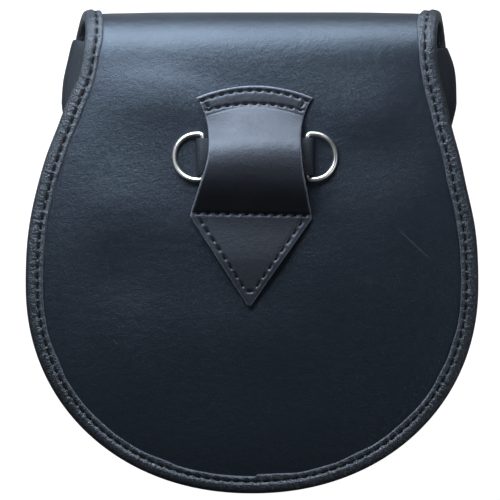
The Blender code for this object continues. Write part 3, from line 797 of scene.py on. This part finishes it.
def loop_mesh():
    """The loop as two grids joined round the rim: its points, its faces, and how worn each point is."""
    downs = np.concatenate([
        np.linspace(0, 0.13, 44),
        np.linspace(0.13, 0.55, 70)[1:],
        np.linspace(0.55, LOOP_CORNER, 14)[1:],
        np.linspace(LOOP_CORNER, 1.0, 110)[1:],
    ])
    shares = np.concatenate([[-1.0, -0.985, -0.968], np.linspace(-0.95, 0.95, 93), [0.968, 0.985, 1.0]])
    down, share = np.meshgrid(downs, shares, indexing="ij")
    flat = on_loop(down, share)
    dents = np.zeros_like(down)
    for seam_down, seam_share, next_down, next_share in LOOP_SEAMS:
        row = on_loop(seam_down, seam_share)[:, :2]
        ahead = on_loop(next_down, next_share)[:, :2] - row
        ahead /= np.linalg.norm(ahead, axis=1)[:, None]
        for one, way in zip(row, ahead):
            dx, dy = flat[..., 0] - one[0], flat[..., 1] - one[1]
            lengthwise, sideways = dx * way[0] + dy * way[1], dx * way[1] - dy * way[0]
            under_stitch = np.exp(-((lengthwise / 0.0015) ** 4) - (sideways / 0.00062) ** 2)
            round_stitch = 0.30 * np.exp(-((lengthwise / 0.0023) ** 4) - (sideways / 0.0008) ** 2)
            dents = np.maximum(np.maximum(dents, under_stitch), round_stitch)
    # the cut edge is rounded down by the burnishing
    half = loop_half(down)
    from_side = (1 - np.abs(share)) * half
    from_top = down * LOOP_LENGTH
    from_tip = (1 - down) * LOOP_LENGTH
    near = np.minimum(np.minimum(from_side, from_top), from_tip)
    rounded = EDGE_ROUNDING * (1 - np.sqrt(np.clip(1 - (1 - np.clip(near / 0.0009, 0, 1)) ** 2, 0, 1)))
    top = on_loop(down, share, -DENT_DEPTH * dents - rounded)
    low = on_loop(down, share, -LOOP_LEATHER + 0.5 * rounded)
    rows, columns = down.shape
    index = np.arange(rows * columns).reshape(rows, columns)
    a, b, c, d = index[:-1, :-1], index[:-1, 1:], index[1:, 1:], index[1:, :-1]
    faces = np.stack([a, d, c, b], axis=-1).reshape(-1, 4).tolist()
    under = rows * columns
    faces += (np.stack([a, b, c, d], axis=-1).reshape(-1, 4) + under).tolist()
    rim = np.concatenate([index[0, :-1], index[:-1, -1], index[-1, :0:-1], index[:0:-1, 0]])
    following = np.roll(rim, -1)
    faces += np.stack([rim, following, following + under, rim + under], axis=-1).tolist()
    worn = ease(1 - near / 0.00075).ravel()
    points = np.concatenate([top.reshape(-1, 3), low.reshape(-1, 3)])
    return points, faces, np.concatenate([worn, worn])


glossy_black, shader = leather_material(
    "glossy_loop_leather", dark=(0.0048, 0.0052, 0.0068), light=(0.0100, 0.0108, 0.0136),
    rough=(0.39, 0.48), cells=1300, crease=0.35, mottle=70, bump=0.26, tint=(0.72, 0.82, 1.0),
)
places, faces, cut_edges = loop_mesh()
loop = new_piece("belt_loop_leather", places, faces, glossy_black, cut_edges)
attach(loop, "pouch")
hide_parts("belt_loop")

here, along, out = [], [], []
for seam_down, seam_share, next_down, next_share in LOOP_SEAMS:
    here.append(on_loop(seam_down, seam_share, -STITCH_SUNK))
    along.append(on_loop(next_down, next_share, -STITCH_SUNK) - here[-1])
    out.append(on_loop(seam_down, seam_share, 0.001) - here[-1])
sew("loop_stitches", np.concatenate(here), np.concatenate(along), np.concatenate(out), length=0.0025)

# Ring strap
# A narrow strap of duller leather under the loop. Its ends are turned round the straight bars of
# the rings and laid back on it.

strap = from_node("ring_strap", "ring_strap_leather", 0)
bevel = strap.modifiers.new("soften", "BEVEL")
bevel.width = 0.0003
bevel.segments = 2
bevel.angle_limit = math.radians(50)
apply_all(strap)
pick(strap)
bpy.ops.object.shade_smooth_by_angle(angle=math.radians(40))
strap.data.materials.append(dull_black)
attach(strap, "pouch")
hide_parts("ring_strap")

# Rings
# Two welded D-rings of 2.1 mm steel wire, nickel plated and polished. The straight bar of each is
# held in the strap, and the bow lies out on the back.

WIRE_RADIUS, RING_HALF, RING_CORNER, RING_ARM = 0.00105, 0.0096, 0.0017, 0.0026
STRAP_LEATHER, RING_DROP, BAR_BESIDE_LOOP = 0.0016, 0.0019, 0.00205
RING_STEPS, WIRE_STEPS = 120, 18
RING_LINE = LOOP_TOP - RING_DOWN * LOOP_LENGTH
BAR_HEIGHT = BACK_LEVEL + 2 * GAP + STRAP_LEATHER + WIRE_RADIUS
RING_TILT = math.asin(RING_DROP / (RING_ARM + RING_HALF))
BAR_LEFT = float(loop_middle(RING_DOWN) - loop_half(RING_DOWN)) - BAR_BESIDE_LOOP
BAR_RIGHT = float(loop_middle(RING_DOWN) + loop_half(RING_DOWN)) + BAR_BESIDE_LOOP

nickel, tree, shader = node_tree("polished_nickel_plate")
where = tree.nodes.new("ShaderNodeTexCoord")
haze = tree.nodes.new("ShaderNodeTexNoise")
haze.inputs["Scale"].default_value = 260
haze.inputs["Detail"].default_value = 4
tree.links.new(where.outputs["Object"], haze.inputs["Vector"])
worn = tree.nodes.new("ShaderNodeMapRange")
worn.inputs["To Min"].default_value = 0.28
worn.inputs["To Max"].default_value = 0.42
tree.links.new(haze.outputs["Fac"], worn.inputs["Value"])
tree.links.new(worn.outputs["Result"], shader.inputs["Roughness"])
warm = tree.nodes.new("ShaderNodeMapRange")
warm.data_type = "FLOAT_VECTOR"
warm.inputs[9].default_value = (0.40, 0.39, 0.37)
warm.inputs[10].default_value = (0.62, 0.61, 0.59)
tree.links.new(haze.outputs["Color"], warm.inputs[6])
tree.links.new(warm.outputs[1], shader.inputs["Base Color"])
shader.inputs["Metallic"].default_value = 1.0


def ring_line():
    """The middle of the wire round the D, outwards and along the bar, in even steps."""
    turn = np.radians(np.linspace(180, 90, 9))
    corner_out = RING_CORNER + RING_CORNER * np.cos(turn)
    corner_along = RING_HALF - RING_CORNER + RING_CORNER * np.sin(turn)
    corner = np.stack([corner_out, corner_along], axis=1)
    turn = np.radians(np.linspace(90, 0, 40))
    bow = np.stack([RING_ARM + RING_HALF * np.cos(turn), RING_HALF * np.sin(turn)], axis=1)
    half = np.concatenate([[[0.0, 0.0]], corner, bow])
    whole = np.concatenate([half, half[-2:0:-1] * (1, -1)])
    closed = np.concatenate([whole, whole[:1]])
    travel = np.concatenate([[0], np.cumsum(np.linalg.norm(np.diff(closed, axis=0), axis=1))])
    steps = np.linspace(0, travel[-1], RING_STEPS + 1)[:-1]
    return np.stack([np.interp(steps, travel, closed[:, k]) for k in (0, 1)], axis=1)


def d_ring(name, bar, side, body, node):
    """A torus whose large circle is led round the D."""
    nothing_selected()
    thin = 0.1
    bpy.ops.mesh.primitive_torus_add(
        major_segments=RING_STEPS, minor_segments=WIRE_STEPS, major_radius=1.0, minor_radius=thin,
    )
    ring = bpy.context.active_object
    ring.name = name
    points = mesh_points(ring)
    turn = np.arctan2(points[:, 1], points[:, 0])
    step = np.round(turn / (2 * math.pi) * RING_STEPS).astype(int) % RING_STEPS
    out = (np.hypot(points[:, 0], points[:, 1]) - 1.0) / thin
    up = points[:, 2] / thin
    line = ring_line()
    ahead = np.roll(line, -1, axis=0) - np.roll(line, 1, axis=0)
    ahead /= np.linalg.norm(ahead, axis=1)[:, None]
    away = np.stack([-ahead[:, 1], ahead[:, 0]], axis=1)
    spot = line[step] + WIRE_RADIUS * out[:, None] * away[step]
    reach, y = spot[:, 0], spot[:, 1]
    height = WIRE_RADIUS * up
    x = reach * math.cos(RING_TILT) + height * math.sin(RING_TILT)
    z = height * math.cos(RING_TILT) - reach * math.sin(RING_TILT)
    set_points(ring, np.stack([bar + side * x, RING_LINE + y, BAR_HEIGHT + z], axis=1))
    weld_and_smooth(ring)
    ring.data.materials.append(nickel)
    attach(ring, body)
    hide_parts(node)


d_ring("ring_left_wire", BAR_LEFT, -1, "ring_left", "d_ring_left")
d_ring("ring_right_wire", BAR_RIGHT, 1, "ring_right", "d_ring_right")

# Press stud
# A plain nickel disc between the flap and the front wall, which keeps the flap shut.

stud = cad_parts["press_stud"]
stud.data.materials.clear()
stud.data.materials.append(nickel)

# Floor, light and camera
# A white table, a wide soft window low beyond the fold with a smaller light left of it, a weak fill
# from each side, a dim room, and a long lens straight above the back.

nothing_selected()
bpy.ops.mesh.primitive_plane_add(size=12.0, location=(0, 0, -0.0002))
table = bpy.context.active_object
table.name = "white_table"
white, tree, shader = node_tree("white_table_top")
shader.inputs["Base Color"].default_value = (0.12, 0.12, 0.12, 1.0)
shader.inputs["Roughness"].default_value = 0.8
shader.inputs["Emission Color"].default_value = (1.0, 1.0, 1.0, 1.0)
seen = tree.nodes.new("ShaderNodeLightPath")
tree.links.new(seen.outputs["Is Camera Ray"], shader.inputs["Emission Strength"])
table.data.materials.append(white)


def soft_light(name, place, target, width, depth, power, colour):
    lamp = bpy.data.lights.new(name, "AREA")
    lamp.shape = "RECTANGLE"
    lamp.size, lamp.size_y, lamp.energy, lamp.color = width, depth, power, colour
    stand = bpy.data.objects.new(name, lamp)
    bpy.context.scene.collection.objects.link(stand)
    stand.location = place
    stand.rotation_euler = (Vector(target) - Vector(place)).to_track_quat("-Z", "Y").to_euler()


# its name, where it stands, what it points at, its width, depth, watts and colour
soft_light("window_light", (-0.04, 0.26, 0.117), (0.0, 0.09, 0.03), 0.50, 0.14, 2.9, (0.86, 0.93, 1.0))
soft_light("left_light", (-0.065, 0.17, 0.20), (-0.03, 0.08, 0.03), 0.16, 0.10, 0.90, (0.86, 0.93, 1.0))
soft_light("left_fill", (-0.40, -0.12, 0.34), (0.0, -0.06, 0.03), 0.25, 0.25, 0.30, (0.88, 0.94, 1.0))
soft_light("right_fill", (0.40, -0.12, 0.30), (0.0, -0.06, 0.03), 0.25, 0.25, 0.74, (0.90, 0.95, 1.0))

sky = bpy.data.worlds.new("dim_room")
bpy.context.scene.world = sky
sky.use_nodes = True
dim = sky.node_tree.nodes["Background"]
dim.inputs["Color"].default_value = (0.90, 0.95, 1.0, 1.0)
dim.inputs["Strength"].default_value = 0.055
pale = sky.node_tree.nodes.new("ShaderNodeBackground")
pale.inputs["Color"].default_value = (1.0, 1.0, 1.0, 1.0)
seen = sky.node_tree.nodes.new("ShaderNodeLightPath")
either = sky.node_tree.nodes.new("ShaderNodeMixShader")
sky.node_tree.links.new(seen.outputs["Is Camera Ray"], either.inputs[0])
sky.node_tree.links.new(dim.outputs["Background"], either.inputs[1])
sky.node_tree.links.new(pale.outputs["Background"], either.inputs[2])
sky.node_tree.links.new(either.outputs["Shader"], sky.node_tree.nodes["World Output"].inputs["Surface"])

bpy.context.scene.view_settings.view_transform = "Standard"

# the outline, 453 of the picture's 500 pixels wide, lies at this level over the table
OUTLINE_PIXELS, PICTURE_PIXELS, OUTLINE_LEVEL = 453, 500, 0.0345
PIXEL = WIDTH / OUTLINE_PIXELS
LENS, SENSOR = 600, 36
camera = bpy.data.objects.new("camera", bpy.data.cameras.new("camera"))
bpy.context.scene.collection.objects.link(camera)
camera.data.lens = LENS
camera.data.sensor_width = SENSOR
camera.location = (-2 * PIXEL, 2 * PIXEL, OUTLINE_LEVEL + PICTURE_PIXELS * PIXEL * LENS / SENSOR)
bpy.context.scene.camera = camera
